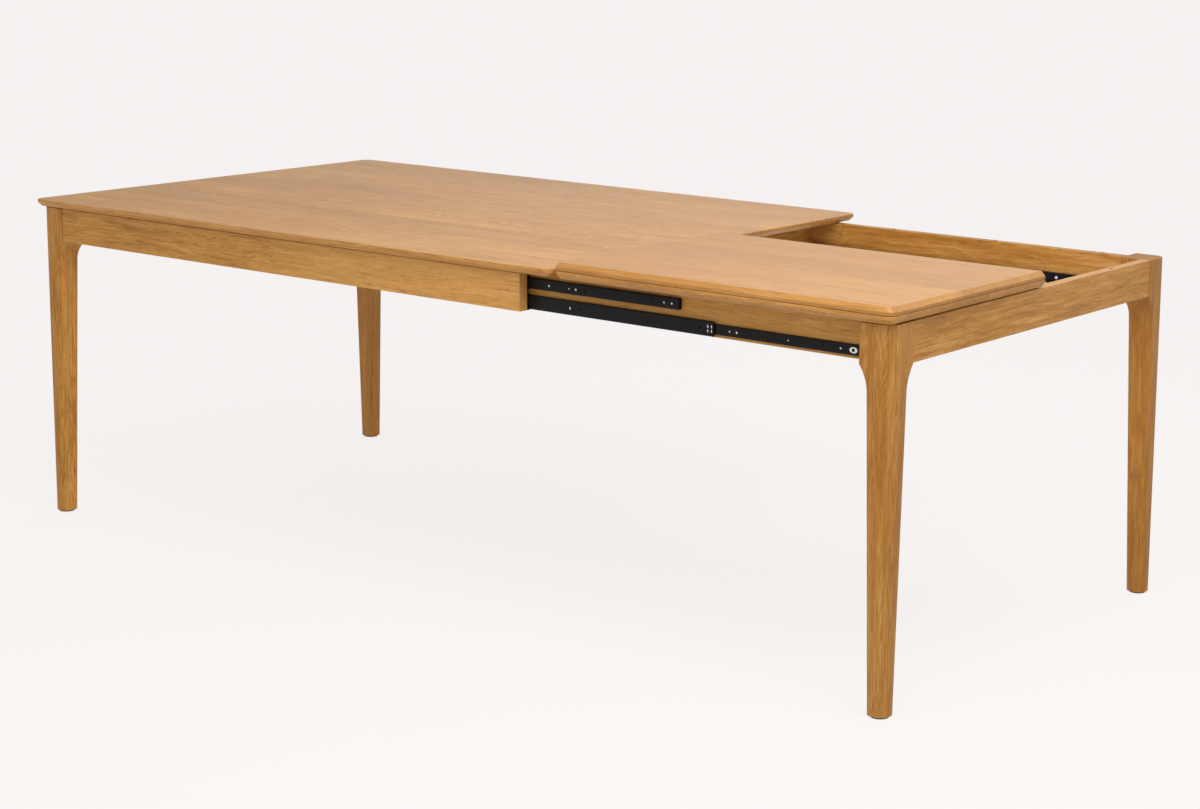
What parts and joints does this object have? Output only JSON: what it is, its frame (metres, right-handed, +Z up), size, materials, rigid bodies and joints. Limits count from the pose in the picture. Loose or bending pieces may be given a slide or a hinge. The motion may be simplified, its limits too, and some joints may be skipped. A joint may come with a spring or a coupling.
{
  "type": "extending dining table",
  "caption": "Oak extending dining table, drawn open on telescopic slides, with its folding leaf resting folded over the open bay.",
  "frame": {"origin": "on the floor, under the middle of the open table", "axes": "+X along the table towards the pull-out end, +Y from the front side to the back side, +Z up"},
  "size_m": [2.409, 1.1, 0.7764],
  "materials": {
    "oak_top": "oiled",
    "oak_frame": "oiled",
    "oak_inner": "unfinished",
    "black_steel": "satin",
    "zinc_steel": "zinc plated",
    "brass": "satin",
    "dark_plastic": "matt",
    "locating_plastic": "matt",
    "pad_rubber": "matt"
  },
  "bodies": {
    "fixed_frame": {"main_top": "oak_top", "top_stiffeners": "black_steel", "front_left_leg": "oak_frame", "back_left_leg": "oak_frame", "front_apron": "oak_frame", "back_apron": "oak_frame", "left_end_apron": "oak_frame", "fixed_cross_rail": "oak_inner", "side_top_cleats": "oak_inner", "left_top_cleat": "oak_inner", "cleat_screws": "zinc_steel", "top_spacers": "dark_plastic", "left_corner_plates": "zinc_steel", "left_leg_bolts": "zinc_steel", "left_leg_nuts": "zinc_steel", "left_plate_screws": "zinc_steel", "left_glides": "dark_plastic", "front_lower_slide_outer": "black_steel", "back_lower_slide_outer": "black_steel", "front_upper_slide_outer": "black_steel", "back_upper_slide_outer": "black_steel", "slide_outer_screws": "zinc_steel"},
    "end_frame": {"front_right_leg": "oak_frame", "back_right_leg": "oak_frame", "right_end_apron": "oak_frame", "front_inner_rail": "oak_frame", "back_inner_rail": "oak_frame", "bay_cross_rail": "oak_inner", "tail_cross_rail": "oak_inner", "bay_runners": "black_steel", "bay_runner_screws": "zinc_steel", "leaf_bearers": "oak_inner", "leaf_rest_pads": "pad_rubber", "right_corner_plates": "zinc_steel", "right_leg_bolts": "zinc_steel", "right_leg_nuts": "zinc_steel", "right_plate_screws": "zinc_steel", "right_glides": "dark_plastic", "front_lower_slide_inner": "black_steel", "back_lower_slide_inner": "black_steel", "front_upper_slide_inner": "black_steel", "back_upper_slide_inner": "black_steel", "slide_inner_screws": "zinc_steel", "slide_eyelets": "zinc_steel"},
    "front_slide_middle": {"front_lower_slide_middle": "black_steel", "front_slide_middle_rivets": "zinc_steel", "front_slide_ball_cage": "zinc_steel"},
    "back_slide_middle": {"back_lower_slide_middle": "black_steel", "back_slide_middle_rivets": "zinc_steel", "back_slide_ball_cage": "zinc_steel"},
    "leaf_front": {"leaf_front_half": "oak_top", "front_hinge_plates": "brass", "leaf_hinge_pins": "brass", "front_hinge_screws": "brass", "front_locating_pins": "locating_plastic"},
    "leaf_back": {"leaf_back_half": "oak_top", "back_hinge_plates": "brass", "back_hinge_screws": "brass", "back_locating_pins": "locating_plastic"}
  },
  "joints": [
    {"name": "end_slide", "type": "slide", "parent": "fixed_frame", "child": "end_frame", "axis": [1, 0, 0], "range_m": [-0.815, 0]},
    {"name": "front_middle_slide", "type": "slide", "parent": "fixed_frame", "child": "front_slide_middle", "axis": [1, 0, 0], "range_m": [-0.489, 0]},
    {"name": "back_middle_slide", "type": "slide", "parent": "fixed_frame", "child": "back_slide_middle", "axis": [1, 0, 0], "range_m": [-0.489, 0]},
    {"name": "leaf_lift", "type": "slide", "parent": "fixed_frame", "child": "leaf_front", "axis": [0, 0, 1], "range_m": [0, 0.15]},
    {"name": "leaf_fold", "type": "hinge", "parent": "leaf_front", "child": "leaf_back", "pos_m": [0.8045, 0, 0.7602], "axis": [-1, 0, 0], "range_deg": [0, 180]}
  ],
  "couplings": [
    {"joint": "front_middle_slide", "follows": "end_slide", "ratio": 0.6},
    {"joint": "back_middle_slide", "follows": "end_slide", "ratio": 0.6}
  ]
}
